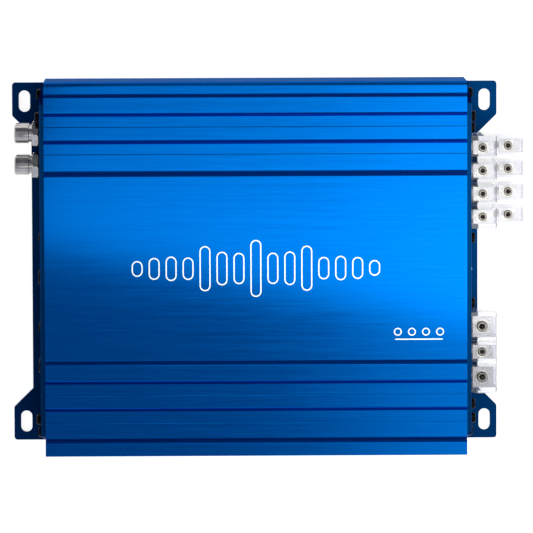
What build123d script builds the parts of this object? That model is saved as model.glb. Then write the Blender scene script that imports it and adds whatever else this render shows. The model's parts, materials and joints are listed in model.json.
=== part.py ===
from build123d import *
from math import radians, tan
import os

# A compact four-channel car amplifier, in millimetres.
# +X is the output end (speaker and power terminals), -X the input end, +Z is up.
# The origin is the centre of the body on the plane that the amplifier rests on.

# --- driving dimensions: heatsink and chamber -------------------------------------------
BODY_LENGTH = 192.0
BODY_WIDTH = 170.4
BODY_HEIGHT = 48.0
ROOF_UNDERSIDE = 43.5
CHAMBER_TOP = 46.5
CHAMBER_HALF_BASE = 82.75
CHAMBER_HALF_TOP = 76.0
CHAMBER_WALL = 2.4
SKIN_THICKNESS = 2.3
SKIN_FOOT = 12.5
SHALLOW_GROOVE_SLOPE = 52.0
DEEP_GROOVE_SLOPE = 60.0
STEP_DEPTH = 0.5
SHOULDER_ROUND = 0.8
EDGE_ROUND = 0.35
LONG_EDGE_ROUNDS = {1: 2.4, -1: 0.4}
# Every line of the roof as (upper edge, lower edge) in Y.
SHALLOW_GROOVES = [(71.3, 69.7), (59.0, 57.2), (-50.8, -52.2), (-63.2, -64.6)]
DEEP_GROOVES = [(80.0, 78.3), (44.95, 42.45), (-41.5, -43.5), (-76.85, -79.3)]
LOWERED_STRIPS = [(69.7, 65.0), (57.2, 52.6), (-52.2, -57.3), (-64.6, -69.9)]

# --- screw channels, ledges and transistor ribs of the heatsink --------------------------
HIGH_SCREW = (69.0, 40.0)
LOW_SCREW = (78.0, 12.0)
CHANNEL_RADIUS = 3.1
LEDGE_INNER = 73.0
LEDGE_TOP = 4.5
RIB_INNER = 60.0
RIB_OUTER = 64.0
RIB_FOOT = 20.0
RIB_ENDS = (-60.0, 75.0)

# --- screws ------------------------------------------------------------------------------
M3_SHANK = 1.4
M3_THREAD_HOLE = 1.45
M3_CLEARANCE = 1.7
BOARD_SCREW_SHANK = 1.2
PAN_HEAD_RADIUS = 2.4
PAN_HEAD_HEIGHT = 2.2
PLATE_SCREW_LENGTH = 12.0
FIXING_SCREW_LENGTH = 9.0
CLAMP_BAR_SCREW_LENGTH = 10.0
BOARD_SCREW_LENGTH = 7.0
COVER_SCREW_LENGTH = 6.5

# --- end plates and bottom cover ---------------------------------------------------------
SHEET = 2.0
BEND_RADIUS = 1.5
FLANGE_REACH = 102.9
EAR_REACH = 111.7
EAR_INNER = 58.8
EAR_STRAIGHT = 67.5
EAR_ROUND = 1.4
PLATE_HALF_BASE = 82.8
SLOT_CENTRE = (106.0, 74.2)
SLOT_WIDTH = 5.2
SLOT_LENGTH = 10.0
COVER_THICKNESS = 1.5
COVER_HALF_WIDTH = 79.9
COVER_SCREW_Y = 76.5
COVER_SCREW_X = (-80.0, 0.0, 80.0)

# --- terminal blocks ---------------------------------------------------------------------
TIER_DEPTH = 12.0
LOWER_TIER_REACH = 24.7
BLOCK_TOP = 37.0
LOWER_TIER_TOP = 23.5
SPEAKER_BLOCK_FOOT = 9.5
SPEAKER_BLOCK_Y = 38.4
SPEAKER_BLOCK_HALF = 21.2
COLUMN_PITCH = 10.55
COLUMN_WIDTH = 7.9
POWER_BLOCK_Y = -39.4
POWER_BLOCK_HALF = 18.8
POWER_BLOCK_FOOT = 20.5
POWER_CELL_PITCH = 11.6
POWER_GAP = (4.3, 6.3)
WEB = 0.8
BLOCK_FLANGE = 2.2
FLANGE_MARGIN = 1.2
FIXING_PAD_RADIUS = 2.8
SPEAKER_FIXINGS = [(63.5, 34.0), (12.9, 34.0)]
POWER_FIXINGS = [(-16.9, 34.0), (-63.2, 34.0)]
UPPER_SCREW_X = 103.7
LOWER_SCREW_X = 116.0
POWER_SCREW_X = 103.4
TERMINAL_GAP = 0.05
# Hexagon sockets of the clamp screws, as shares of the screw's radius and of its length.
SOCKET_ACROSS_FLATS = 1.25
SOCKET_DEPTH = 0.45
CAGE_WALL = 0.65
CAGE_BACK_WALL = 0.8
SCREW_TO_CAGE = 0.05
TAIL_WIDTH = 3.0
TAIL_THICKNESS = 0.8
TAIL_X = {"upper": 87.6, "lower": 90.2, "power": 89.0}

# --- input jacks -------------------------------------------------------------------------
JACK_COLUMNS = (61.2, 46.8)
JACK_ROWS = (35.0, 21.0)
JACK_BARREL = 4.15
JACK_NECK = 3.6
JACK_THREAD = 3.9
JACK_BORE = 3.3
JACK_TIP = 109.6
JACK_TAIL = 4.0
WASHER_RADIUS = 6.2
WASHER_THICKNESS = 0.7
NUT_ACROSS_FLATS = 10.4
NUT_THICKNESS = 2.8
INSULATOR_GAP = 0.02
CONTACT_RADIUS = 2.0
PIN_BORE = 1.62

# --- level knobs, slide switches and power light -----------------------------------------
KNOB_COLUMNS = (-4.4, -45.1)
SWITCH_COLUMNS = (13.7, -27.1)
CONTROL_ROWS = (36.0, 24.5)
CONTROL_TIP = 99.1
CONTROL_BODY_FRONT = 95.4
CONTROL_BODY_BACK = 86.0
KNOB_RADIUS = 2.9
KNOB_SHAFT = 1.5
KNOB_RIBS = 18
POT_HALF = 4.9
LEVER_WIDTH = 3.0
LEVER_HEIGHT = 2.4
LEVER_TRAVEL = 2.0
LEVER_SHOULDERS = (92.0, 94.0)
LIGHT_PLACE = (-1.7, 30.0)
LIGHT_RADIUS = 0.95
LIGHT_LEAD_PITCH = 1.3

# --- main board and what stands on it ----------------------------------------------------
BOARD_TOP = 11.0
BOARD_THICKNESS = 1.6
BOARD_HALF_LENGTH = 92.0
BOARD_HALF_WIDTH = 73.5
STANDOFF_PLACES = [(x, y) for y in (-69.0, 69.0) for x in (-76.0, 0.0, 76.0)]
TRANSISTOR_X = (-45.0, -27.0, -9.0, 9.0, 27.0, 45.0)
TRANSISTOR_HALF = 5.1
TRANSISTOR_DEPTH = 4.5
TRANSISTOR_FOOT = 24.0
CLAMP_SCREW_X = (-36.0, 0.0, 36.0)
CLAMP_HEIGHT = 28.5
CLAMP_THICKNESS = 2.0
PAD_THICKNESS = 0.3
CORE_PLACE = (45.0, -8.0, 20.0)
CORE_OUTER = 18.0
CORE_INNER = 9.5
CORE_HEIGHT = 14.0
WIRE = 1.5
WINDING_TURNS = 16
CAN_RADIUS = 8.0
CAN_HEIGHT = 20.0

HALF_LENGTH = BODY_LENGTH / 2
HALF_WIDTH = BODY_WIDTH / 2
PLATE_FACE = HALF_LENGTH + SHEET
CHAMBER_SLOPE = (CHAMBER_HALF_BASE - CHAMBER_HALF_TOP) / CHAMBER_TOP


# --- helpers -----------------------------------------------------------------------------
def block(x_range, y_range, z_range):
    """A block between two opposite corners."""
    sizes = [high - low for low, high in (x_range, y_range, z_range)]
    middle = [(low + high) / 2 for low, high in (x_range, y_range, z_range)]
    return Pos(*middle) * Box(*sizes)


def upright(x, y, z_range, radius):
    """A round bar along Z."""
    return Pos(x, y, sum(z_range) / 2) * Cylinder(radius, z_range[1] - z_range[0])


def lengthwise(x_range, y, z, radius):
    """A round bar along X."""
    return Pos(sum(x_range) / 2, y, z) * Rot(0, 90, 0) * Cylinder(radius, x_range[1] - x_range[0])


def across_bar(x, y_range, radius):
    """A round bar along Y at a clamp screw."""
    low, high = y_range
    return Pos(x, (low + high) / 2, CLAMP_HEIGHT) * Rot(90, 0, 0) * Cylinder(radius, high - low)


def hexagon_bar(across_flats, height):
    """A hexagonal bar standing on Z = 0."""
    return extrude(RegularPolygon(across_flats / 2, 6, major_radius=False), amount=height)


def outline(*points):
    """A closed polygon that keeps its points' own coordinates and faces +Z whichever way they run."""
    polygon = Polygon(*points, align=None)
    upward = polygon.faces()[0].normal_at().Z > 0
    return polygon if upward else Polygon(*reversed(points), align=None)


def rounded_at(sketch, points, radius):
    """A sketch with the corners nearest to the points rounded."""
    corners = [min(sketch.vertices(), key=lambda v: (Vector(*v) - Vector(*p)).length) for p in points]
    return fillet(corners, radius)


def along_x(sketch, x_range):
    """A sketch drawn as (Y, Z), extruded along X."""
    return extrude(Plane.YZ.offset(x_range[0]) * sketch, amount=x_range[1] - x_range[0])


def turned(*profile):
    """A body of revolution about Z from (radius, height) points."""
    return revolve(Plane.XZ * outline(*profile), Axis.Z)


def on_input_side(shape):
    """The mirror image of a part made for the output end."""
    return mirror(shape, Plane.YZ)


def facing(end, x, y, z):
    """A place on an end plate where +Z of a part points out of the amplifier."""
    return Pos(end * x, y, z) * Rot(0, 90 * end, 0)


def write(name, shapes):
    """Write one node, with each of its pieces as a separate solid."""
    pieces = shapes if isinstance(shapes, list) else [shapes]
    solids = [solid for piece in pieces for solid in piece.solids()]
    export_step(solids[0] if len(solids) == 1 else Compound(solids), f"parts/{name}.step")


# --- heatsink ----------------------------------------------------------------------------
def chamber_half(z):
    """Half the outer width of the slanted chamber walls at a height."""
    return CHAMBER_HALF_BASE - CHAMBER_SLOPE * z


def chamber_profile():
    """Slanted walls under a flat roof slab that reaches over the outer skins, open at the bottom."""
    top_half = chamber_half(CHAMBER_TOP)
    walls = outline(
        (-CHAMBER_HALF_BASE, 0), (CHAMBER_HALF_BASE, 0), (top_half, CHAMBER_TOP), (-top_half, CHAMBER_TOP)
    )
    foot = CHAMBER_HALF_BASE - CHAMBER_WALL
    head = chamber_half(ROOF_UNDERSIDE) - CHAMBER_WALL
    hollow = outline((-foot, 0), (foot, 0), (head, ROOF_UNDERSIDE), (-head, ROOF_UNDERSIDE))
    roof_middle = (BODY_HEIGHT + ROOF_UNDERSIDE) / 2
    roof = Pos(0, roof_middle) * Rectangle(BODY_WIDTH, BODY_HEIGHT - ROOF_UNDERSIDE)
    return walls + roof - hollow


def skin_profile(side):
    """One outer side wall and the web that joins its foot to the chamber."""
    inner = HALF_WIDTH - SKIN_THICKNESS
    web_top = SKIN_FOOT + SKIN_THICKNESS
    overlap = CHAMBER_WALL / 2
    points = [
        (HALF_WIDTH, SKIN_FOOT),
        (HALF_WIDTH, BODY_HEIGHT),
        (inner, BODY_HEIGHT),
        (inner, web_top),
        (chamber_half(web_top) - overlap, web_top),
        (chamber_half(SKIN_FOOT) - overlap, SKIN_FOOT),
    ]
    return outline(*[(side * y, z) for y, z in points])


def screw_channel_profiles():
    """Round channels that take the end plate screws, with the necks that hold the high ones."""
    shapes = []
    for side in (-1, 1):
        y, z = HIGH_SCREW
        shapes.append(Pos(side * y, z) * Circle(CHANNEL_RADIUS))
        neck = Rectangle(CHANNEL_RADIUS, ROOF_UNDERSIDE - z)
        shapes.append(Pos(side * y, (z + ROOF_UNDERSIDE) / 2) * neck)
        shapes.append(Pos(side * LOW_SCREW[0], LOW_SCREW[1]) * Circle(CHANNEL_RADIUS))
    return shapes


def ledge_profile(side):
    """The ledge that the bottom cover is screwed to."""
    wall = CHAMBER_HALF_BASE - CHAMBER_WALL / 2
    middle = Pos(side * (LEDGE_INNER + wall) / 2, (COVER_THICKNESS + LEDGE_TOP) / 2)
    return middle * Rectangle(wall - LEDGE_INNER, LEDGE_TOP - COVER_THICKNESS)


def step_profile(edges):
    """A strip that lies a little below the roof's top."""
    upper, lower = edges
    return Pos((upper + lower) / 2, BODY_HEIGHT) * Rectangle(upper - lower, 2 * STEP_DEPTH)


def groove_profile(edges, slope):
    """A groove whose two sides slope down at an angle and meet in a sharp bottom."""
    upper, lower = edges
    depth = (upper - lower) / 2 * tan(radians(slope))
    return outline((lower, BODY_HEIGHT), (upper, BODY_HEIGHT), ((upper + lower) / 2, BODY_HEIGHT - depth))


def roof_lines(profile):
    """The profile with every groove and strip cut in its roof and their edges rounded."""
    for edges in LOWERED_STRIPS:
        profile -= step_profile(edges)
    for edges in SHALLOW_GROOVES:
        profile -= groove_profile(edges, SHALLOW_GROOVE_SLOPE)
    for edges in DEEP_GROOVES:
        profile -= groove_profile(edges, DEEP_GROOVE_SLOPE)
    shoulders = [(upper, BODY_HEIGHT) for upper, _ in SHALLOW_GROOVES]
    edges = [(y, BODY_HEIGHT) for groove in DEEP_GROOVES for y in groove]
    edges += [(lower, BODY_HEIGHT) for _, lower in LOWERED_STRIPS]
    profile = rounded_at(profile, shoulders, SHOULDER_ROUND)
    return rounded_at(profile, edges, EDGE_ROUND)


def heatsink():
    """The whole extrusion, with the ribs cut back from the ends and all screw holes."""
    profile = chamber_profile()
    for side in (-1, 1):
        profile += skin_profile(side)
        profile += ledge_profile(side)
    for shape in screw_channel_profiles():
        profile += shape
    profile = roof_lines(profile)
    for side in (-1, 1):
        profile = rounded_at(profile, [(side * HALF_WIDTH, BODY_HEIGHT)], LONG_EDGE_ROUNDS[side])
        for y, z in (HIGH_SCREW, LOW_SCREW):
            profile -= Pos(side * y, z) * Circle(M3_THREAD_HOLE)
    body = along_x(profile, (-HALF_LENGTH, HALF_LENGTH))
    for side in (-1, 1):
        rib_y = sorted((side * RIB_INNER, side * RIB_OUTER))
        body += block(RIB_ENDS, rib_y, (RIB_FOOT, ROOF_UNDERSIDE))
        for x in CLAMP_SCREW_X:
            body -= across_bar(x, rib_y, M3_THREAD_HOLE)
        for x in COVER_SCREW_X:
            body -= upright(x, side * COVER_SCREW_Y, (0, LEDGE_TOP), M3_THREAD_HOLE)
    return body


# --- end plates --------------------------------------------------------------------------
def blank_end_plate():
    """The output end's plate before its holes: a bent sheet with a flange and two slotted ears."""
    side_view = outline(
        (HALF_LENGTH, 0), (EAR_REACH, 0), (EAR_REACH, SHEET), (PLATE_FACE, SHEET),
        (PLATE_FACE, CHAMBER_TOP), (HALF_LENGTH, CHAMBER_TOP),
    )
    side_view = rounded_at(side_view, [(PLATE_FACE, SHEET)], BEND_RADIUS)
    side_view = rounded_at(side_view, [(HALF_LENGTH, 0)], BEND_RADIUS + 0.5)
    sheet = extrude(Plane.XZ * side_view, amount=PLATE_HALF_BASE, both=True)
    top_corners = [(-CHAMBER_HALF_TOP, CHAMBER_TOP), (CHAMBER_HALF_TOP, CHAMBER_TOP)]
    end_view = outline(
        (-PLATE_HALF_BASE, 0), (PLATE_HALF_BASE, 0), (PLATE_HALF_BASE, SHEET),
        top_corners[1], top_corners[0], (-PLATE_HALF_BASE, SHEET),
    )
    end_view = rounded_at(end_view, top_corners, BEND_RADIUS)
    top_view = outline(
        (HALF_LENGTH, -PLATE_HALF_BASE), (EAR_REACH, -PLATE_HALF_BASE), (EAR_REACH, -EAR_STRAIGHT),
        (FLANGE_REACH, -EAR_INNER), (FLANGE_REACH, EAR_INNER), (EAR_REACH, EAR_STRAIGHT),
        (EAR_REACH, PLATE_HALF_BASE), (HALF_LENGTH, PLATE_HALF_BASE),
    )
    ear_corners = [(EAR_REACH, side * y) for side in (-1, 1) for y in (PLATE_HALF_BASE, EAR_STRAIGHT)]
    top_view = rounded_at(top_view, ear_corners, EAR_ROUND)
    plate = sheet & along_x(end_view, (HALF_LENGTH, EAR_REACH)) & extrude(top_view, amount=CHAMBER_TOP)
    for side in (-1, 1):
        slot = Rot(0, 0, 90) * SlotOverall(SLOT_LENGTH, SLOT_WIDTH)
        plate -= extrude(Pos(SLOT_CENTRE[0], side * SLOT_CENTRE[1]) * slot, amount=SHEET)
        for y, z in (HIGH_SCREW, LOW_SCREW):
            plate -= lengthwise((HALF_LENGTH, PLATE_FACE), side * y, z, M3_CLEARANCE)
    return plate


def output_plate():
    """The plate with windows for both terminal blocks, their fixing screws and the power light."""
    plate = blank_end_plate()
    window_gap = 0.15
    for centre, half, foot in (
        (SPEAKER_BLOCK_Y, SPEAKER_BLOCK_HALF, SPEAKER_BLOCK_FOOT),
        (POWER_BLOCK_Y, POWER_BLOCK_HALF, POWER_BLOCK_FOOT),
    ):
        reach = half + window_gap
        window_z = (foot - window_gap, BLOCK_TOP + window_gap)
        plate -= block((HALF_LENGTH, PLATE_FACE), (centre - reach, centre + reach), window_z)
    for y, z in SPEAKER_FIXINGS + POWER_FIXINGS:
        plate -= lengthwise((HALF_LENGTH, PLATE_FACE), y, z, M3_CLEARANCE)
    return plate - lengthwise((HALF_LENGTH, PLATE_FACE), *LIGHT_PLACE, LIGHT_RADIUS + 0.1)


def input_plate():
    """The plate with round holes for jacks and knobs and slots for the switch levers."""
    plate = on_input_side(blank_end_plate())
    through = (-PLATE_FACE, -HALF_LENGTH)
    for z in JACK_ROWS:
        for y in JACK_COLUMNS:
            plate -= lengthwise(through, y, z, JACK_THREAD + 0.1)
    for z in CONTROL_ROWS:
        for y in KNOB_COLUMNS:
            plate -= lengthwise(through, y, z, KNOB_RADIUS + 0.4)
        for y in SWITCH_COLUMNS:
            half_slot = LEVER_WIDTH / 2 + LEVER_TRAVEL + 0.3
            half_height = LEVER_HEIGHT / 2 + 0.3
            plate -= block(through, (y - half_slot, y + half_slot), (z - half_height, z + half_height))
    return plate


# --- screws ------------------------------------------------------------------------------
def pan_screw(length, shank=M3_SHANK):
    """A pan-head screw with a cross recess, its head standing on Z = 0 and its shank below."""
    head = fillet(Cylinder(PAN_HEAD_RADIUS, PAN_HEAD_HEIGHT).edges().group_by(Axis.Z)[-1], 0.9)
    screw = Pos(0, 0, PAN_HEAD_HEIGHT / 2) * head + Pos(0, 0, -length / 2) * Cylinder(shank, length)
    recess = Box(2.6, 0.7, 1.2) + Box(0.7, 2.6, 1.2)
    return screw - Pos(0, 0, PAN_HEAD_HEIGHT - 0.5) * recess


def socket_screw(radius, length, across_flats):
    """A headless clamp screw with a hexagonal socket, its top at Z = 0."""
    body = Pos(0, 0, -length / 2) * Cylinder(radius, length)
    body = chamfer(body.edges().filter_by(GeomType.CIRCLE), radius * 0.18)
    depth = length * SOCKET_DEPTH
    drill_point = turned((0, -depth - across_flats * 0.3), (across_flats / 2, -depth), (0, -depth))
    return body - Pos(0, 0, -depth) * hexagon_bar(across_flats, depth) - drill_point


def end_plate_screws(end):
    """The four screws that hold one end plate."""
    places = [(side * y, z) for side in (-1, 1) for y, z in (HIGH_SCREW, LOW_SCREW)]
    return [facing(end, PLATE_FACE, y, z) * pan_screw(PLATE_SCREW_LENGTH) for y, z in places]


def cover_screws():
    """Countersunk screws that hold the bottom cover to the ledges."""
    neck, tip = (M3_SHANK, COVER_THICKNESS), (M3_SHANK, COVER_SCREW_LENGTH)
    cone = turned((0, 0.05), (2.9, 0.05), neck, tip, (0, COVER_SCREW_LENGTH))
    recess = Pos(0, 0, 0.35) * (Box(2.8, 0.7, 1.0) + Box(0.7, 2.8, 1.0))
    screw = cone - recess
    return [Pos(x, side * COVER_SCREW_Y, 0) * screw for side in (-1, 1) for x in COVER_SCREW_X]


def bottom_cover():
    """The flat sheet that closes the chamber, countersunk for its screws."""
    half = HALF_LENGTH - 0.1
    cover = block((-half, half), (-COVER_HALF_WIDTH, COVER_HALF_WIDTH), (0, COVER_THICKNESS))
    sink = turned((0, 0), (3.0, 0), (M3_THREAD_HOLE, COVER_THICKNESS), (0, COVER_THICKNESS))
    for side in (-1, 1):
        for x in COVER_SCREW_X:
            cover -= Pos(x, side * COVER_SCREW_Y, 0) * sink
    return cover


# --- terminal blocks ---------------------------------------------------------------------
class Terminal:
    """One wire port: its clamp screw, its metal cage and the pocket for them in the clear housing."""

    def __init__(self, y, screw_x, front, top, big=False):
        self.y = y
        self.screw_x = screw_x
        self.front = front
        self.top = top
        self.screw_radius = 2.45 if big else 1.95
        self.access_radius = 2.95 if big else 2.65
        self.half_width = 4.7 if big else 3.1
        self.roof = 3.0 if big else 3.2
        self.thick_wall = 4.0 if big else 2.85
        self.port_height = 7.3 if big else 4.9
        self.cage_top = top - self.roof - TERMINAL_GAP
        self.port_top = self.cage_top - self.thick_wall
        self.port_floor = self.port_top - self.port_height
        self.cage_foot = self.port_floor - CAGE_WALL
        self.cage_back = screw_x - 4.3
        self.cage_front = front - 1.4

    def pocket(self):
        """The space in the housing for the cage, the screw and the cage's tail."""
        wide = self.half_width + TERMINAL_GAP
        sides = (self.y - wide, self.y + wide)
        heights = (self.cage_foot - TERMINAL_GAP, self.cage_top + TERMINAL_GAP)
        pocket = block((self.cage_back - TERMINAL_GAP, self.front), sides, heights)
        pocket += upright(self.screw_x, self.y, (self.cage_top, self.top), self.access_radius)
        tail_y = (self.y - TAIL_WIDTH / 2 - 0.05, self.y + TAIL_WIDTH / 2 + 0.05)
        tail_z = (self.cage_foot - TERMINAL_GAP, self.cage_foot + TAIL_THICKNESS + 0.05)
        return pocket + block((HALF_LENGTH - BLOCK_FLANGE, self.cage_back), tail_y, tail_z)

    def cage(self, tail_x):
        """The metal cage with its thick threaded roof and a tail bent down to the main board."""
        sides = (self.y - self.half_width, self.y + self.half_width)
        cage = block((self.cage_back, self.cage_front), sides, (self.cage_foot, self.cage_top))
        port_y = (sides[0] + CAGE_WALL, sides[1] - CAGE_WALL)
        port_x = (self.cage_back + CAGE_BACK_WALL, self.cage_front)
        cage -= block(port_x, port_y, (self.port_floor, self.port_top))
        thread_radius = self.screw_radius + SCREW_TO_CAGE
        cage -= upright(self.screw_x, self.y, (self.port_top, self.cage_top), thread_radius)
        tail_y = (self.y - TAIL_WIDTH / 2, self.y + TAIL_WIDTH / 2)
        tail_top = self.cage_foot + TAIL_THICKNESS
        cage += block((tail_x, self.cage_back), tail_y, (self.cage_foot, tail_top))
        return cage + block((tail_x, tail_x + TAIL_THICKNESS), tail_y, (BOARD_TOP, tail_top))

    def screw(self):
        """The clamp screw, raised so that its tip is level with the port's ceiling."""
        length = self.thick_wall + 2.4
        screw = socket_screw(self.screw_radius, length, self.screw_radius * SOCKET_ACROSS_FLATS)
        return Pos(self.screw_x, self.y, self.port_top + 0.05 + length) * screw


def speaker_terminals(screw_x, reach, top):
    """The four ports of one tier."""
    return [Terminal(y, screw_x, PLATE_FACE + reach, top) for y in SPEAKER_COLUMNS]


SPEAKER_COLUMNS = [SPEAKER_BLOCK_Y - 0.1 + COLUMN_PITCH * (1.5 - column) for column in range(4)]
UPPER_TERMINALS = speaker_terminals(UPPER_SCREW_X, TIER_DEPTH, BLOCK_TOP)
LOWER_TERMINALS = speaker_terminals(LOWER_SCREW_X, LOWER_TIER_REACH, LOWER_TIER_TOP)
POWER_FRONT = PLATE_FACE + TIER_DEPTH
POWER_TERMINALS = [
    Terminal(POWER_BLOCK_Y + POWER_CELL_PITCH * step, POWER_SCREW_X, POWER_FRONT, BLOCK_TOP, big=step != 0)
    for step in (1, 0, -1)
]


def block_flange(centre, half, foot, fixings):
    """The part of a terminal housing behind the plate, with a round pad at each fixing screw."""
    reach = half + FLANGE_MARGIN
    x_range = (HALF_LENGTH - BLOCK_FLANGE, HALF_LENGTH)
    z_range = (foot - FLANGE_MARGIN, BLOCK_TOP + FLANGE_MARGIN)
    flange = block(x_range, (centre - reach, centre + reach), z_range)
    for y, z in fixings:
        inner = centre + (reach if y > centre else -reach)
        flange += block(x_range, sorted((y, inner)), (z - FIXING_PAD_RADIUS, z + FIXING_PAD_RADIUS))
        flange += lengthwise(x_range, y, z, FIXING_PAD_RADIUS)
    for y, z in fixings:
        flange -= lengthwise(x_range, y, z, M3_THREAD_HOLE)
    return flange


def stair_profile():
    """One speaker column seen along Y: a high tier at the plate and a low tier in front of it."""
    upper_front = PLATE_FACE + TIER_DEPTH
    lower_front = PLATE_FACE + LOWER_TIER_REACH
    stair = outline(
        (HALF_LENGTH, SPEAKER_BLOCK_FOOT), (lower_front, SPEAKER_BLOCK_FOOT), (lower_front, LOWER_TIER_TOP),
        (upper_front, LOWER_TIER_TOP), (upper_front, BLOCK_TOP), (HALF_LENGTH, BLOCK_TOP),
    )
    return rounded_at(stair, [(lower_front, LOWER_TIER_TOP), (upper_front, BLOCK_TOP)], 0.8)


def speaker_terminal_housing():
    """Four stair-shaped columns on one neck and flange, joined by thin webs between the columns."""
    low, high = SPEAKER_BLOCK_Y - SPEAKER_BLOCK_HALF, SPEAKER_BLOCK_Y + SPEAKER_BLOCK_HALF
    housing = block_flange(SPEAKER_BLOCK_Y, SPEAKER_BLOCK_HALF, SPEAKER_BLOCK_FOOT, SPEAKER_FIXINGS)
    housing += block((HALF_LENGTH, PLATE_FACE), (low, high), (SPEAKER_BLOCK_FOOT, BLOCK_TOP))
    half = COLUMN_WIDTH / 2
    for y in SPEAKER_COLUMNS:
        left, right = y - half, y + half
        if y == SPEAKER_COLUMNS[0]:
            right = high
        if y == SPEAKER_COLUMNS[-1]:
            left = low
        column = extrude(Plane.XZ.offset(-left) * stair_profile(), amount=-(right - left))
        housing += column
    web_x = (PLATE_FACE + TIER_DEPTH - WEB, PLATE_FACE + TIER_DEPTH)
    web_y = (SPEAKER_COLUMNS[-1], SPEAKER_COLUMNS[0])
    housing += block(web_x, web_y, (SPEAKER_BLOCK_FOOT, LOWER_TIER_TOP - 1.0))
    for terminal in UPPER_TERMINALS + LOWER_TERMINALS:
        housing -= terminal.pocket()
    return housing


def power_terminal_housing():
    """Two wide cells and a narrow one between them, on a neck and flange like the speaker housing's."""
    low, high = POWER_BLOCK_Y - POWER_BLOCK_HALF, POWER_BLOCK_Y + POWER_BLOCK_HALF
    housing = block_flange(POWER_BLOCK_Y, POWER_BLOCK_HALF, POWER_BLOCK_FOOT, POWER_FIXINGS)
    body = block((HALF_LENGTH, POWER_FRONT), (low, high), (POWER_BLOCK_FOOT, BLOCK_TOP))
    outer_corners = [edge for edge in body.edges().filter_by(Axis.Z) if edge.center().X > PLATE_FACE]
    body = fillet(outer_corners, 1.2)
    body = fillet(body.faces().sort_by(Axis.Z)[-1].edges().sort_by(Axis.X)[-1], 0.7)
    for side in (-1, 1):
        gap = sorted(POWER_BLOCK_Y + side * y for y in POWER_GAP)
        body -= block((PLATE_FACE, POWER_FRONT - WEB), gap, (POWER_BLOCK_FOOT, BLOCK_TOP))
    housing += body
    for terminal in POWER_TERMINALS:
        housing -= terminal.pocket()
    return housing


def terminal_fixing_screws(fixings):
    """The screws that pull a terminal housing against the back of the output plate."""
    return [facing(1, PLATE_FACE, y, z) * pan_screw(FIXING_SCREW_LENGTH) for y, z in fixings]


def write_terminals():
    """Both terminal blocks: housings, contacts, fixing screws and one node for each clamp screw."""
    write("speaker_terminal_housing", speaker_terminal_housing())
    write("power_terminal_housing", power_terminal_housing())
    upper_cages = [terminal.cage(TAIL_X["upper"]) for terminal in UPPER_TERMINALS]
    lower_cages = [terminal.cage(TAIL_X["lower"]) for terminal in LOWER_TERMINALS]
    write("speaker_terminal_contacts", upper_cages + lower_cages)
    write("power_terminal_contacts", [terminal.cage(TAIL_X["power"]) for terminal in POWER_TERMINALS])
    write("speaker_block_fixing_screws", terminal_fixing_screws(SPEAKER_FIXINGS))
    write("power_block_fixing_screws", terminal_fixing_screws(POWER_FIXINGS))
    for tier, terminals in (("upper", UPPER_TERMINALS), ("lower", LOWER_TERMINALS)):
        for number, terminal in enumerate(terminals, 1):
            write(f"speaker_clamp_screw_{tier}_{number}", terminal.screw())
    for name, terminal in zip(("supply", "remote", "ground"), POWER_TERMINALS):
        write(f"power_clamp_screw_{name}", terminal.screw())


# --- input jacks -------------------------------------------------------------------------
def jack_places(column):
    """The two jacks of one column, as places with +Z pointing out of the input plate."""
    return [facing(-1, PLATE_FACE, column, z) for z in JACK_ROWS]


def jack_shell():
    """The metal shell: plug barrel, undercut neck and threaded tail, about Z from the plate's face."""
    tip = JACK_TIP - PLATE_FACE
    nut_top = WASHER_THICKNESS + NUT_THICKNESS
    neck_top = nut_top + 1.4
    return turned(
        (JACK_BORE, -JACK_TAIL), (JACK_THREAD, -JACK_TAIL), (JACK_THREAD, nut_top),
        (JACK_NECK, nut_top + 0.2), (JACK_NECK, neck_top),
        (JACK_BARREL, neck_top + 0.3), (JACK_BARREL, tip - 0.5), (JACK_BARREL - 0.5, tip), (JACK_BORE, tip),
    )


def jack_nut():
    """A hexagon nut with bevelled corners."""
    bevel = turned(
        (0, 0), (5.5, 0), (6.05, 0.5), (6.05, NUT_THICKNESS - 0.5), (5.5, NUT_THICKNESS), (0, NUT_THICKNESS)
    )
    nut = hexagon_bar(NUT_ACROSS_FLATS, NUT_THICKNESS) & bevel
    nut -= Pos(0, 0, NUT_THICKNESS / 2) * Cylinder(JACK_THREAD + 0.05, NUT_THICKNESS)
    return Pos(0, 0, WASHER_THICKNESS) * nut


def jack_washer():
    """The flat black washer between the nut and the plate."""
    return Pos(0, 0, WASHER_THICKNESS / 2) * (
        Cylinder(WASHER_RADIUS, WASHER_THICKNESS) - Cylinder(JACK_THREAD + 0.05, WASHER_THICKNESS)
    )


def jack_insulator():
    """The moulded insert that fills the shell round the centre contact."""
    outer = JACK_BORE - INSULATOR_GAP
    front = JACK_TIP - PLATE_FACE - 0.4
    bore = CONTACT_RADIUS + INSULATOR_GAP
    return turned(
        (bore, -JACK_TAIL), (outer, -JACK_TAIL), (outer, front - 0.3), (outer - 0.3, front), (bore, front)
    )


def jack_contact():
    """The tubular centre contact that takes the plug's pin, closed at the back."""
    front = JACK_TIP - PLATE_FACE - 1.2
    back, bore_end = -8.0, -3.0
    return turned(
        (0, back), (CONTACT_RADIUS, back), (CONTACT_RADIUS, front), (PIN_BORE, front), (PIN_BORE, bore_end),
        (0, bore_end),
    )


def jack_housing():
    """The moulded block behind the plate that holds the four jacks and stands on the main board."""
    middle = sum(JACK_COLUMNS) / 2
    reach = 11.6
    housing = block((-HALF_LENGTH, -84.0), (middle - reach, middle + reach), (BOARD_TOP, 41.6))
    for column in JACK_COLUMNS:
        for place in jack_places(column):
            housing -= place * Pos(0, 0, -JACK_TAIL) * Cylinder(JACK_THREAD + 0.05, JACK_TAIL + 0.1)
            housing -= place * Pos(0, 0, -5.0) * Cylinder(CONTACT_RADIUS + INSULATOR_GAP, 6.2)
    return housing


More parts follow.
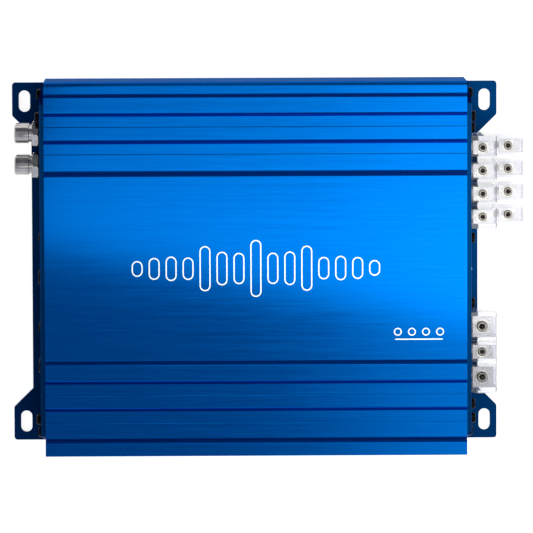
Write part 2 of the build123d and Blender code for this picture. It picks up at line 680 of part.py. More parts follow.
def write_jacks():
    """Every piece of the input jacks, one node for each kind of piece."""
    places = [place for column in JACK_COLUMNS for place in jack_places(column)]
    write("rca_shells", [place * jack_shell() for place in places])
    write("rca_nuts", [place * jack_nut() for place in places])
    write("rca_washers", [place * jack_washer() for place in places])
    write("rca_centre_contacts", [place * jack_contact() for place in places])
    write("rca_insulators_left", [place * jack_insulator() for place in jack_places(JACK_COLUMNS[0])])
    write("rca_insulators_right", [place * jack_insulator() for place in jack_places(JACK_COLUMNS[1])])
    write("rca_jack_housing", jack_housing())


# --- level knobs and slide switches ------------------------------------------------------
def knob():
    """A knurled knob with a screwdriver slot, about Z with its face at the control tip."""
    reach = CONTROL_TIP - CONTROL_BODY_FRONT - 0.3
    head = Pos(0, 0, -reach / 2) * Cylinder(KNOB_RADIUS, reach)
    head = chamfer(head.edges().group_by(Axis.Z)[-1], 0.3)
    for turn in range(KNOB_RIBS):
        flute = Pos(KNOB_RADIUS + 0.1, 0, -reach / 2) * Cylinder(0.3, reach)
        head -= Rot(0, 0, 360 * turn / KNOB_RIBS) * flute
    head -= Pos(0, 0, -0.4) * Box(3.6, 0.7, 0.8)
    shaft_length = 6.0
    return head + Pos(0, 0, -reach - shaft_length / 2) * Cylinder(KNOB_SHAFT, shaft_length)


def pot_body(y, z):
    """A potentiometer's square body with a bore for the knob's shaft."""
    depth = (-CONTROL_BODY_FRONT, -CONTROL_BODY_BACK)
    body = block(depth, (y - POT_HALF, y + POT_HALF), (z - POT_HALF, z + POT_HALF))
    body = chamfer(body.edges().filter_by(Axis.X), 0.6)
    return body - lengthwise((-CONTROL_BODY_FRONT, -89.0), y, z, KNOB_SHAFT + 0.05)


def lever(y, z):
    """A slide switch lever, narrow in the plate's slot and wide inside the switch body."""
    back, shoulder = LEVER_SHOULDERS
    heights = (z - LEVER_HEIGHT / 2, z + LEVER_HEIGHT / 2)
    tip = block((-CONTROL_TIP, -shoulder), (y - LEVER_WIDTH / 2, y + LEVER_WIDTH / 2), heights)
    tip = chamfer(tip.edges().group_by(Axis.X)[0], 0.3)
    return tip + block((-shoulder, -back), (y - 2.5, y + 2.5), heights)


def switch_body(y, z):
    """A slide switch's body, hollow where its lever moves."""
    body = block((-CONTROL_BODY_FRONT, -CONTROL_BODY_BACK), (y - 6.0, y + 6.0), (z - 3.2, z + 3.2))
    heights = (z - LEVER_HEIGHT / 2 - 0.1, z + LEVER_HEIGHT / 2 + 0.1)
    back, shoulder = LEVER_SHOULDERS
    slot = LEVER_WIDTH / 2 + LEVER_TRAVEL + 0.3
    body -= block((-CONTROL_BODY_FRONT, -shoulder - 0.3), (y - slot, y + slot), heights)
    return body - block((-shoulder - 0.3, -back + 0.2), (y - 4.8, y + 4.8), heights)


def write_controls():
    """Knobs, levers, their bodies and the small upright board that carries them."""
    for row, z in zip(("upper", "lower"), CONTROL_ROWS):
        for number, y in enumerate(KNOB_COLUMNS, 1):
            write(f"level_knob_{row}_{number}", facing(-1, CONTROL_TIP, y, z) * knob())
        for number, y in enumerate(SWITCH_COLUMNS, 1):
            write(f"switch_lever_{row}_{number}", lever(y, z))
    write("pot_bodies", [pot_body(y, z) for z in CONTROL_ROWS for y in KNOB_COLUMNS])
    write("switch_bodies", [switch_body(y, z) for z in CONTROL_ROWS for y in SWITCH_COLUMNS])
    board_x = (-CONTROL_BODY_BACK, BOARD_THICKNESS - CONTROL_BODY_BACK)
    write("control_board", block(board_x, (-52.0, 21.0), (BOARD_TOP, 42.0)))


# --- power light -------------------------------------------------------------------------
def write_power_light():
    """A small domed light in the output plate and its two leads."""
    y, z = LIGHT_PLACE
    foot, rim = -5.3, -4.4
    base = LIGHT_RADIUS + 0.4
    lens = turned((0, foot), (base, foot), (base, rim), (LIGHT_RADIUS, rim), (LIGHT_RADIUS, 0), (0, 0))
    lens += Sphere(LIGHT_RADIUS) & Pos(0, 0, LIGHT_RADIUS) * Box(4, 4, 2 * LIGHT_RADIUS)
    write("power_light", facing(1, PLATE_FACE, y, z) * lens)
    lead_x, half = PLATE_FACE + foot - 3.2, 0.25
    leads = []
    for side in (-1, 1):
        middle = y + side * LIGHT_LEAD_PITCH / 2
        lead_y = (middle - half, middle + half)
        lead = block((lead_x, PLATE_FACE + foot), lead_y, (z - half, z + half))
        leads.append(lead + block((lead_x, lead_x + 2 * half), lead_y, (BOARD_TOP, z + half)))
    write("power_light_leads", leads)


# --- main board and what stands on it ----------------------------------------------------
def main_board():
    """The main circuit board with its screw holes."""
    half_x, half_y = BOARD_HALF_LENGTH, BOARD_HALF_WIDTH
    board = block((-half_x, half_x), (-half_y, half_y), (BOARD_TOP - BOARD_THICKNESS, BOARD_TOP))
    for x, y in STANDOFF_PLACES:
        board -= upright(x, y, (BOARD_TOP - BOARD_THICKNESS, BOARD_TOP), 1.5)
    return board


def standoff():
    """A hexagonal standoff pressed on the bottom cover."""
    height = BOARD_TOP - BOARD_THICKNESS - COVER_THICKNESS
    bar = hexagon_bar(5.0, height) - Pos(0, 0, height / 2) * Cylinder(BOARD_SCREW_SHANK + 0.05, height)
    return Pos(0, 0, COVER_THICKNESS) * bar


def transistor(x):
    """A flat-tab power transistor upright against the pad on the +Y rib, with three legs."""
    back = RIB_INNER - PAD_THICKNESS
    sides = (x - TRANSISTOR_HALF, x + TRANSISTOR_HALF)
    tab_foot, tab_top, tab_thickness = 33.2, 39.6, 1.3
    package = block(sides, (back - TRANSISTOR_DEPTH, back), (TRANSISTOR_FOOT, tab_foot))
    package = chamfer(package.edges().filter_by(Axis.X).sort_by(Axis.Y)[:2], 0.8)
    tab = block(sides, (back - tab_thickness, back), (tab_foot, tab_top))
    tab -= Pos(x, back - tab_thickness / 2, 36.4) * Rot(90, 0, 0) * Cylinder(1.8, tab_thickness)
    for step in (-1, 0, 1):
        leg_x = (x + 2.54 * step - 0.4, x + 2.54 * step + 0.4)
        package += block(leg_x, (back - 2.9, back - 2.3), (BOARD_TOP, TRANSISTOR_FOOT))
    return package + tab


def thermal_pad():
    """The insulating pad between the transistors and the +Y rib."""
    faces = (RIB_INNER - PAD_THICKNESS, RIB_INNER)
    pad = block((-53.0, 53.0), faces, (23.0, 41.0))
    for x in CLAMP_SCREW_X:
        pad -= across_bar(x, faces, 1.6)
    return pad


def clamp_bar():
    """The steel bar that presses the transistors on the +Y rib."""
    face = RIB_INNER - PAD_THICKNESS - TRANSISTOR_DEPTH
    faces = (face - CLAMP_THICKNESS, face)
    bar = block((-52.0, 52.0), faces, (25.5, 31.5))
    for x in CLAMP_SCREW_X:
        bar -= across_bar(x, faces, M3_CLEARANCE)
    return bar


def clamp_bar_screws():
    """The screws that pull the bar towards the +Y rib."""
    face = RIB_INNER - PAD_THICKNESS - TRANSISTOR_DEPTH - CLAMP_THICKNESS
    screw = Rot(90, 0, 0) * pan_screw(CLAMP_BAR_SCREW_LENGTH)
    return [Pos(x, face, CLAMP_HEIGHT) * screw for x in CLAMP_SCREW_X]


def on_both_sides(pieces):
    """Pieces made for the +Y side, and their mirror images."""
    return pieces + [mirror(piece, Plane.XZ) for piece in pieces]


def electrolytic(x, y):
    """A storage capacitor can with its crimp near the foot."""
    can = turned(
        (0, 0), (CAN_RADIUS, 0), (CAN_RADIUS, 1.6), (CAN_RADIUS - 0.6, 2.2), (CAN_RADIUS, 2.8),
        (CAN_RADIUS, CAN_HEIGHT - 0.8), (CAN_RADIUS - 0.8, CAN_HEIGHT), (0, CAN_HEIGHT),
    )
    return Pos(x, y, BOARD_TOP) * can


def transformer_core():
    """The ring core of the supply transformer."""
    ring = Cylinder(CORE_OUTER, CORE_HEIGHT) - Cylinder(CORE_INNER, CORE_HEIGHT)
    return Pos(*CORE_PLACE) * chamfer(ring.edges().filter_by(GeomType.CIRCLE), 0.8)


def transformer_winding():
    """Thick wire turns round the core, each a closed rounded loop clear of the core."""
    gap = 0.1
    width = CORE_OUTER - CORE_INNER + 2 * gap
    height = CORE_HEIGHT + 2 * gap
    outer = RectangleRounded(width + 2 * WIRE, height + 2 * WIRE, 1.8)
    loop = extrude(Plane.XZ * (outer - RectangleRounded(width, height, 0.6)), amount=WIRE / 2, both=True)
    middle = (CORE_OUTER + CORE_INNER) / 2
    return [
        Pos(*CORE_PLACE) * Rot(0, 0, 360 * turn / WINDING_TURNS) * Pos(middle, 0, 0) * loop
        for turn in range(WINDING_TURNS)
    ]


def choke(x, y):
    """A wound drum inductor on its base."""
    drum = turned(
        (0, 0), (7.0, 0), (7.0, 1.6), (5.6, 2.4), (5.6, 10.6), (7.0, 11.4), (7.0, 13.0), (0, 13.0)
    )
    return Pos(x, y, BOARD_TOP) * drum


def film_capacitor(x, y):
    """A boxed film capacitor on two leads' worth of clearance."""
    body = block((x - 6.0, x + 6.0), (y - 2.5, y + 2.5), (BOARD_TOP, BOARD_TOP + 10.0))
    return fillet(body.edges().filter_by(Axis.Z), 0.6)


def driver_chip(x, y):
    """A dual-in-line chip with four legs a side."""
    body = block((x - 5.0, x + 5.0), (y - 3.2, y + 3.2), (BOARD_TOP + 0.6, BOARD_TOP + 4.0))
    body = chamfer(body.edges().group_by(Axis.Z)[-1], 0.4)
    body -= upright(x - 4.0, y, (BOARD_TOP + 3.6, BOARD_TOP + 4.0), 0.6)
    for side in (-1, 1):
        for step in range(4):
            leg_x = x - 3.81 + 2.54 * step
            leg_y = sorted((y + side * 3.2, y + side * 3.8))
            body += block((leg_x - 0.3, leg_x + 0.3), leg_y, (BOARD_TOP, BOARD_TOP + 2.0))
    return body


def write_electronics():
    """The main board, its hardware and everything soldered to it."""
    write("main_board", main_board())
    write("board_standoffs", [Pos(x, y) * standoff() for x, y in STANDOFF_PLACES])
    screw = pan_screw(BOARD_SCREW_LENGTH, BOARD_SCREW_SHANK)
    write("board_screws", [Pos(x, y, BOARD_TOP) * screw for x, y in STANDOFF_PLACES])
    write("power_transistors", on_both_sides([transistor(x) for x in TRANSISTOR_X]))
    write("thermal_pads", on_both_sides([thermal_pad()]))
    write("clamp_bars", on_both_sides([clamp_bar()]))
    write("clamp_bar_screws", on_both_sides(clamp_bar_screws()))
    write("transformer_core", transformer_core())
    write("transformer_winding", transformer_winding())
    cans = [electrolytic(x, y) for x in (-20.0, 4.0) for y in (-30.0, -8.0, 14.0, 36.0)]
    write("storage_capacitors", cans)
    write("filter_chokes", [choke(78.0, 8.0), choke(78.0, -10.0)])
    write("film_capacitors", [film_capacitor(60.0, 20.0 + 9.0 * step) for step in range(4)])
    write("driver_chips", [driver_chip(-58.0, y) for y in (-36.0, -12.0, 12.0, 36.0)])


os.makedirs("parts", exist_ok=True)
write("heatsink", heatsink())
write("bottom_cover", bottom_cover())
write("bottom_cover_screws", cover_screws())
write("input_end_plate", input_plate())
write("output_end_plate", output_plate())
write("input_plate_screws", end_plate_screws(-1))
write("output_plate_screws", end_plate_screws(1))
write_terminals()
write_jacks()
write_controls()
write_power_light()
write_electronics()
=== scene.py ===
import json
import math

import bmesh
import bpy
from mathutils import Matrix, Vector


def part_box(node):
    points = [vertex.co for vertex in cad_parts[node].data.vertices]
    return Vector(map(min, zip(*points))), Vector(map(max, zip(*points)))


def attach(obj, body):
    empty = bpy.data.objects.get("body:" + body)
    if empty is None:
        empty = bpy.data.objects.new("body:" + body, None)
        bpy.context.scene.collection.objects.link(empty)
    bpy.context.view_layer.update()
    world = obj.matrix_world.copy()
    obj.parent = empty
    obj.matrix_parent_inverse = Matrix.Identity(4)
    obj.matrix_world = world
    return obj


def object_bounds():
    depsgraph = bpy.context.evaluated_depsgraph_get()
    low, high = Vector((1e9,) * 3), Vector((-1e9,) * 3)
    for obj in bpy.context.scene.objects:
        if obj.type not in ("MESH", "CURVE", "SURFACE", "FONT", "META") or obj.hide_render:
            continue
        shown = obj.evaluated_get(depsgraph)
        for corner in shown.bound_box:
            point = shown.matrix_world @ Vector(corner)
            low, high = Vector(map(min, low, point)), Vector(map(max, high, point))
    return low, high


MM = 0.001
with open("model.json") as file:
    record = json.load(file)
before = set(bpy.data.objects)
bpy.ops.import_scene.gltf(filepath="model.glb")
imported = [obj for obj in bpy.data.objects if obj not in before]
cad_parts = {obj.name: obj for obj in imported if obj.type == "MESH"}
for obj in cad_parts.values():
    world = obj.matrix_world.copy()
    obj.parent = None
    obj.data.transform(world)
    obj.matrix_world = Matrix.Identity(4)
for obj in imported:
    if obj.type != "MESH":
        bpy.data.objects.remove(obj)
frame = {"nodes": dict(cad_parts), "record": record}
cad_low, cad_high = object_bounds()
scene = bpy.context.scene
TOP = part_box("heatsink")[1].z


# --- shader nodes ------------------------------------------------------------------------
def add_node(tree, kind, values=None, **settings):
    """A new shader node with these settings, and its inputs linked to sockets or set to values."""
    made = tree.nodes.new(kind)
    for name, value in settings.items():
        setattr(made, name, value)
    for name, value in (values or {}).items():
        if isinstance(value, bpy.types.NodeSocket):
            tree.links.new(value, made.inputs[name])
        else:
            made.inputs[name].default_value = value
    return made


def map_range(tree, value, span, levels, **settings):
    """The value carried from the two ends of a span to two levels."""
    names = ("Value", "From Min", "From Max", "To Min", "To Max")
    values = dict(zip(names, (value, *span, *levels)))
    return add_node(tree, "ShaderNodeMapRange", values, **settings).outputs[0]


# --- materials ---------------------------------------------------------------------------
class Surface:
    """A material built round one Principled shader, with its texture in object coordinates."""

    def __init__(self, name, colour, roughness, metallic=0.0):
        self.material = bpy.data.materials.new(name)
        self.material.use_nodes = True
        self.tree = self.material.node_tree
        self.shader = self.tree.nodes["Principled BSDF"]
        self.set(**{"Base Color": (*colour, 1.0), "Roughness": roughness, "Metallic": metallic})
        self.place = self.node("ShaderNodeTexCoord").outputs["Object"]
        self.colour = None
        self.normal = None

    def set(self, **values):
        """Sets the shader's own inputs."""
        for name, value in values.items():
            self.shader.inputs[name].default_value = value
        return self

    def node(self, kind, values=None, **settings):
        """A node in this material."""
        return add_node(self.tree, kind, values, **settings)

    def grain(self, scale, detail=3.0, roughness=0.5, seed=0.0):
        """Noise of a size set for each axis, in repeats per metre."""
        moved = {"Vector": self.place, "Scale": scale, "Location": (seed, seed, seed)}
        place = self.node("ShaderNodeMapping", moved).outputs[0]
        values = {"Vector": place, "Scale": 1.0, "Detail": detail, "Roughness": roughness}
        return self.node("ShaderNodeTexNoise", values).outputs[0]

    def cells(self, scale):
        """Distance to the nearest of scattered points, for pits and sparkle."""
        values = {"Vector": self.place, "Scale": scale}
        return self.node("ShaderNodeTexVoronoi", values).outputs["Distance"]

    def spread(self, value, low, high, start=0.35, stop=0.65):
        """The value carried from start..stop to low..high."""
        return map_range(self.tree, value, (start, stop), (low, high))

    def colours(self, value, dark, light, start=0.3, stop=0.7):
        """Base colour that runs from dark to light with the value."""
        ramp = self.node("ShaderNodeValToRGB", {"Fac": value})
        for end, place, tone in zip(ramp.color_ramp.elements, (start, stop), (dark, light)):
            end.position = place
            end.color = (*tone, 1.0)
        self.colour = ramp.outputs["Color"]
        self.tree.links.new(self.colour, self.shader.inputs["Base Color"])
        return self

    def worn_and_highlit_edges(self, radius, bare_and_highlight, amount):
        """Mixes a pale colour in along outer edges, where the rounded normal leaves the true one:
        partly bare metal worn through, partly a painted highlight that the edges catch.
        """
        at_edge, on_face = 0.75, 0.97
        rounded = self.node("ShaderNodeBevel", {"Radius": radius}, samples=4).outputs[0]
        true = self.node("ShaderNodeNewGeometry").outputs["Normal"]
        product = self.node("ShaderNodeVectorMath", {0: rounded, 1: true}, operation="DOT_PRODUCT")
        edge = self.spread(product.outputs["Value"], amount, 0.0, at_edge, on_face)
        # The mixing node's colour sockets share their names with others, so they go by number.
        factor, first, second, result = 0, 6, 7, 2
        values = {factor: edge, first: self.colour, second: (*bare_and_highlight, 1.0)}
        self.colour = self.node("ShaderNodeMix", values, data_type="RGBA").outputs[result]
        self.tree.links.new(self.colour, self.shader.inputs["Base Color"])
        return self

    def shine(self, value, low, high):
        """Roughness that runs from low to high with the value."""
        self.tree.links.new(self.spread(value, low, high), self.shader.inputs["Roughness"])
        return self

    def relief(self, value, depth):
        """Bumps of a depth in metres, added to those already there."""
        values = {"Height": value, "Distance": depth, "Strength": 1.0}
        if self.normal:
            values["Normal"] = self.normal
        self.normal = self.node("ShaderNodeBump", values).outputs[0]
        self.tree.links.new(self.normal, self.shader.inputs["Normal"])
        return self

    def painted_shade_flanks(self, metallic):
        """Metal where the surface faces up or down, and less so where it is upright: painted shade that
        keeps the flanks from mirroring the bright floor.
        """
        upright, sloping = 0.12, 0.66
        normal = self.node("ShaderNodeNewGeometry").outputs["Normal"]
        facing = self.node("ShaderNodeSeparateXYZ", {0: normal}).outputs["Z"]
        tilt = self.node("ShaderNodeMath", {0: facing}, operation="ABSOLUTE").outputs[0]
        # Upright faces are less metallic, so they show as painted shade.
        share = self.spread(tilt, metallic, 1.0, upright, sloping)
        self.tree.links.new(share, self.shader.inputs["Metallic"])
        return self

    def brushed_along_x(self, strength):
        """Stretches highlights across fine lines that run along X."""
        normal = self.node("ShaderNodeNewGeometry").outputs["Normal"]
        along = (1.0, 0.0, 0.0)
        across = self.node("ShaderNodeVectorMath", {0: normal, 1: along}, operation="CROSS_PRODUCT")
        self.tree.links.new(across.outputs[0], self.shader.inputs["Tangent"])
        return self.set(Anisotropic=strength)


def blue_anodised():
    """Aluminium under a transparent blue dye: brushed along X on top, with its upright flanks made less
    metallic as painted shade.
    """
    dye = Surface("blue_anodised_brushed", (0.0, 0.085, 0.37), 0.22, metallic=1.0)
    dye.set(**{"Specular Tint": (0.04, 0.27, 0.42, 1.0), "Specular IOR Level": 0.0})
    fine = dye.grain((45.0, 3400.0, 3400.0), detail=4.0, roughness=0.7)
    broad = dye.grain((14.0, 760.0, 760.0), detail=2.0, seed=3.0)
    fine_share = 0.75
    streaks = dye.node("ShaderNodeMath", {0: fine, 1: fine_share}, operation="MULTIPLY").outputs[0]
    blend = {0: broad, 1: 1.0 - fine_share, 2: streaks}
    mixed = dye.node("ShaderNodeMath", blend, operation="MULTIPLY_ADD").outputs[0]
    dye.colours(mixed, (0.0, 0.074, 0.335), (0.0, 0.096, 0.40), 0.36, 0.64)
    dye.shine(mixed, 0.18, 0.25)
    dye.relief(fine, 0.25e-6)
    # Upright flanks less metallic: painted shade in place of the dark floor they would mirror.
    return dye.painted_shade_flanks(0.15).brushed_along_x(0.2).material


def navy_sheet():
    """Dark blue satin sheet, with a faint grain, small pits and pale cut edges that are partly bare
    metal and partly a painted edge highlight.
    """
    sheet = Surface("navy_satin_sheet", (0.0, 0.023, 0.094), 0.42, metallic=1.0)
    sheet.set(**{"Specular Tint": (0.03, 0.10, 0.25, 1.0)})
    grain = sheet.grain((900.0, 900.0, 900.0), detail=4.0)
    sheet.colours(grain, (0.0, 0.019, 0.082), (0.0, 0.027, 0.107))
    # Pale edges: partly bare metal, partly a painted highlight along the edges.
    sheet.worn_and_highlit_edges(0.25 * MM, (0.10, 0.14, 0.22), 0.5)
    sheet.shine(grain, 0.36, 0.48)
    return sheet.relief(sheet.cells(1600.0), 4e-6).material


def black_powder_coat():
    """Matt black coating with the fine orange peel of baked powder."""
    coat = Surface("black_powder_coat", (0.02, 0.02, 0.022), 0.55)
    peel = coat.grain((700.0, 700.0, 700.0), detail=3.0)
    coat.colours(peel, (0.016, 0.016, 0.018), (0.028, 0.028, 0.031))
    coat.shine(peel, 0.45, 0.65)
    return coat.relief(peel, 2.5e-5).material


def black_oxide():
    """Blackened steel screws, rubbed a little where a driver has been."""
    steel = Surface("black_oxide_steel", (0.006, 0.006, 0.007), 0.42)
    steel.set(**{"Specular IOR Level": 0.04})
    rub = steel.grain((500.0, 500.0, 500.0), detail=5.0, roughness=0.65)
    steel.colours(rub, (0.001, 0.001, 0.0015), (0.004, 0.004, 0.005), 0.35, 0.75)
    # Slightly lighter edges: partly wear, partly a painted edge highlight.
    steel.worn_and_highlit_edges(0.15 * MM, (0.010, 0.010, 0.012), 0.6)
    return steel.shine(rub, 0.3, 0.5).relief(rub, 6e-6).material


def clear_plastic():
    """Clear moulded polycarbonate with slight flow marks."""
    clear = Surface("clear_polycarbonate", (0.68, 0.69, 0.76), 0.03)
    clear.set(**{"Transmission Weight": 1.0, "IOR": 1.45, "Alpha": 0.9, "Specular IOR Level": 0.3})
    flow = clear.grain((60.0, 220.0, 60.0), detail=2.0)
    clear.shine(flow, 0.02, 0.07)
    return clear.relief(flow, 1.5e-5).material


def nickel():
    """Bright nickel plate with fine turning rings and faint tarnish."""
    plate = Surface("bright_nickel", (0.43, 0.42, 0.41), 0.12, metallic=1.0)
    stain = plate.grain((260.0, 260.0, 260.0), detail=4.0)
    plate.colours(stain, (0.37, 0.355, 0.345), (0.50, 0.49, 0.48))
    plate.shine(stain, 0.08, 0.18)
    rings = plate.grain((5200.0, 300.0, 300.0), detail=1.0, seed=2.0)
    return plate.relief(rings, 1.2e-6).material


def clamp_steel():
    """Dull nickel plate on hardened steel, scuffed by the hexagon key, with pale edges that are partly
    wear and partly a painted highlight on the rims.
    """
    steel = Surface("dull_nickel_steel", (0.18, 0.17, 0.168), 0.26, metallic=1.0)
    scuff = steel.grain((900.0, 900.0, 900.0), detail=5.0, roughness=0.7)
    steel.colours(scuff, (0.14, 0.13, 0.128), (0.22, 0.21, 0.208))
    # Pale edges: partly wear from the key, partly a painted highlight on the rims.
    steel.worn_and_highlit_edges(0.3 * MM, (0.60, 0.59, 0.59), 0.8)
    return steel.shine(scuff, 0.2, 0.34).relief(scuff, 4e-6).material


def tinned_brass():
    """Dull tin plate with a little brass showing through."""
    tin = Surface("tinned_brass", (0.52, 0.51, 0.51), 0.32, metallic=1.0)
    worn = tin.grain((380.0, 380.0, 380.0), detail=5.0)
    tin.colours(worn, (0.46, 0.445, 0.43), (0.57, 0.565, 0.57), 0.3, 0.5)
    return tin.shine(worn, 0.25, 0.42).relief(worn, 5e-6).material


def moulded(name, dark, light, low=0.35, high=0.5, depth=1e-5, gloss=0.5):
    """Moulded plastic with a fine spark-eroded texture."""
    mean = [(a + b) / 2 for a, b in zip(dark, light)]
    plastic = Surface(name, mean, (low + high) / 2)
    plastic.set(**{"Specular IOR Level": gloss})
    grain = plastic.grain((1400.0, 1400.0, 1400.0), detail=3.0)
    plastic.colours(grain, dark, light)
    return plastic.shine(grain, low, high).relief(grain, depth).material


def lens():
    """The clear tip of the power light, slightly milky."""
    tip = Surface("light_lens", (0.9, 0.95, 1.0), 0.08)
    tip.set(**{"Transmission Weight": 0.55, "IOR": 1.5})
    cloud = tip.grain((500.0, 500.0, 500.0), detail=2.0)
    tip.colours(cloud, (0.84, 0.91, 1.0), (0.95, 0.98, 1.0))
    return tip.shine(cloud, 0.05, 0.14).material


def circuit_board():
    """Green solder resist over a darker pattern of copper areas."""
    board = Surface("green_solder_resist", (0.01, 0.12, 0.05), 0.3)
    areas = board.grain((70.0, 70.0, 70.0), detail=1.0)
    board.colours(areas, (0.008, 0.085, 0.035), (0.014, 0.15, 0.06), 0.48, 0.52)
    weave = board.grain((1500.0, 1500.0, 300.0), detail=2.0, seed=5.0)
    return board.shine(weave, 0.22, 0.36).relief(weave, 5e-6).material


def zinc_plate():
    """Bright zinc with a pale bluish bloom."""
    zinc = Surface("bright_zinc", (0.20, 0.20, 0.21), 0.3, metallic=1.0)
    bloom = zinc.grain((300.0, 300.0, 300.0), detail=4.0)
    zinc.colours(bloom, (0.16, 0.16, 0.17), (0.25, 0.25, 0.26))
    return zinc.shine(bloom, 0.22, 0.4).relief(bloom, 4e-6).material


def copper_wire():
    """Enamelled copper, uneven in tone along each turn."""
    wire = Surface("enamelled_copper", (0.6, 0.22, 0.07), 0.25, metallic=0.9)
    tone = wire.grain((350.0, 350.0, 350.0), detail=3.0)
    wire.colours(tone, (0.45, 0.14, 0.04), (0.72, 0.30, 0.11))
    return wire.shine(tone, 0.18, 0.34).relief(tone, 5e-6).material


def print_ink():
    """White screen-printing ink with a slightly uneven film."""
    ink = Surface("white_print_ink", (0.9, 0.92, 0.95), 0.5)
    film = ink.grain((1800.0, 1800.0, 1800.0), detail=3.0)
    ink.colours(film, (0.82, 0.86, 0.92), (0.97, 0.98, 1.0))
    return ink.shine(film, 0.42, 0.58).relief(film, 4e-6).material


MATERIALS = {
    "blue_anodised": blue_anodised(),
    "navy_sheet": navy_sheet(),
    "black_sheet": black_powder_coat(),
    "black_screw": black_oxide(),
    "clear_plastic": clear_plastic(),
    "nickel": nickel(),
    "tinned_brass": tinned_brass(),
    "black_washer": moulded(
        "black_fibre_washer", (0.003, 0.003, 0.004), (0.010, 0.010, 0.010), 0.6, 0.8, 3e-5, gloss=0.08
    ),
    "white_plastic": moulded("white_moulding", (0.74, 0.74, 0.71), (0.82, 0.82, 0.80)),
    "red_plastic": moulded("red_moulding", (0.42, 0.010, 0.010), (0.52, 0.018, 0.016)),
    "black_plastic": moulded(
        "black_moulding", (0.004, 0.004, 0.005), (0.010, 0.010, 0.011), gloss=0.12
    ),
    "light_lens": lens(),
    "circuit_board": circuit_board(),
    "zinc_steel": zinc_plate(),
    "silicone_pad": moulded(
        "grey_silicone", (0.36, 0.37, 0.41), (0.44, 0.45, 0.49), 0.6, 0.8, 2e-5
    ),
    "ferrite": moulded(
        "grey_ferrite", (0.05, 0.052, 0.058), (0.085, 0.088, 0.095), 0.5, 0.75, 3e-5
    ),
    "copper_wire": copper_wire(),
    "capacitor_sleeve": moulded(
        "dark_sleeve", (0.010, 0.012, 0.030), (0.018, 0.022, 0.050), 0.25, 0.4, 6e-6
    ),
    "film_box": moulded("amber_moulding", (0.50, 0.27, 0.02), (0.62, 0.36, 0.04)),
}
CLAMP_STEEL = clamp_steel()
INK = print_ink()


def finish_cad_nodes():
    """Gives every CAD node the material of its slot, with the clamp screws duller than other nickel."""
    for part in frame["record"]["subparts"]:
        node, slot = part["node"], part["material_slot"]
        mesh = frame["nodes"][node].data
        mesh.materials.clear()
        mesh.materials.append(CLAMP_STEEL if "clamp_screw_" in node else MATERIALS[slot])


# --- printed marks -----------------------------------------------------------------------
INK_THICKNESS = 0.03 * MM
STROKE = 0.45 * MM
JACK_PITCH = 14.4 * MM
# The jack washers lie on the input plate's outer face, and the output plate mirrors it.
PLATE_FACE = -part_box("rca_washers")[1].x
LYING = Matrix.Rotation(math.pi / 2, 4, "Z")
SETTING_PLACES = [(number, row) for number in (1, 2) for row in ("upper", "lower")]


def new_object(name, builder, material):
    """An object from a finished bmesh, in one material."""
    mesh = bpy.data.meshes.new(name)
    builder.to_mesh(mesh)
    builder.free()
    mesh.materials.append(material)
    made = bpy.data.objects.new(name, mesh)
    scene.collection.objects.link(made)
    return made


def print_on_body(name, builder):
    """Ink that rides on the amplifier itself."""
    piece = new_object(name, builder, INK)
    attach(piece, "root")


def capsule(width, height, steps=10):
    """Points round an upright capsule centred on the origin, anticlockwise."""
    radius = width / 2
    straight = max(height / 2 - radius, 0.0)
    points = []
    for side, start in ((1, 0.0), (-1, math.pi)):
        for step in range(steps + 1):
            angle = start + math.pi * step / steps
            points.append((radius * math.cos(angle), radius * math.sin(angle) + side * straight))
    return points


def add_band(builder, outer, inner, place):
    """A flat ring of ink between two outlines with equally many points, as a closed thin solid."""
    levels = []
    for points in (outer, inner):
        for z in (0.0, INK_THICKNESS):
            levels.append([builder.verts.new(place @ Vector((x, y, z))) for x, y in points])
    outer_low, outer_high, inner_low, inner_high = levels
    count = len(outer)
    for i in range(count):
        j = (i + 1) % count
        builder.faces.new((outer_high[i], outer_high[j], inner_high[j], inner_high[i]))
        builder.faces.new((outer_low[j], outer_low[i], inner_low[i], inner_low[j]))
        builder.faces.new((outer_low[i], outer_low[j], outer_high[j], outer_high[i]))
        builder.faces.new((inner_low[j], inner_low[i], inner_high[i], inner_high[j]))


def add_patch(builder, outline, place):
    """A solid patch of ink."""
    low, high = [
        [builder.verts.new(place @ Vector((x, y, z))) for x, y in outline]
        for z in (0.0, INK_THICKNESS)
    ]
    builder.faces.new(high)
    builder.faces.new(low[::-1])
    for i in range(len(outline)):
        j = (i + 1) % len(outline)
        builder.faces.new((low[i], low[j], high[j], high[i]))


def panel_emblem():
    """An abstract row of outlined level bars across the main panel."""
    stroke, width, pitch, count = 0.55 * MM, 5.0 * MM, 7.7 * MM, 15
    shortest, growth = 7.0 * MM, 19.0 * MM
    ripple, ripple_turn = 0.38, 2.2
    middle = Vector((0.0, 0.5 * MM, TOP))
    builder = bmesh.new()
    for number in range(count):
        step = number - (count - 1) / 2
        envelope = math.cos(step / count * math.pi) ** 1.5
        wave = 1.0 - ripple + ripple * math.cos(step * ripple_turn)
        height = shortest + growth * envelope * wave
        place = Matrix.Translation(middle + Vector((step * pitch, 0.0, 0.0)))
        inner = capsule(width - 2 * stroke, height - 2 * stroke)
        add_band(builder, capsule(width, height), inner, place)
    print_on_body("panel_print_level_bars", builder)


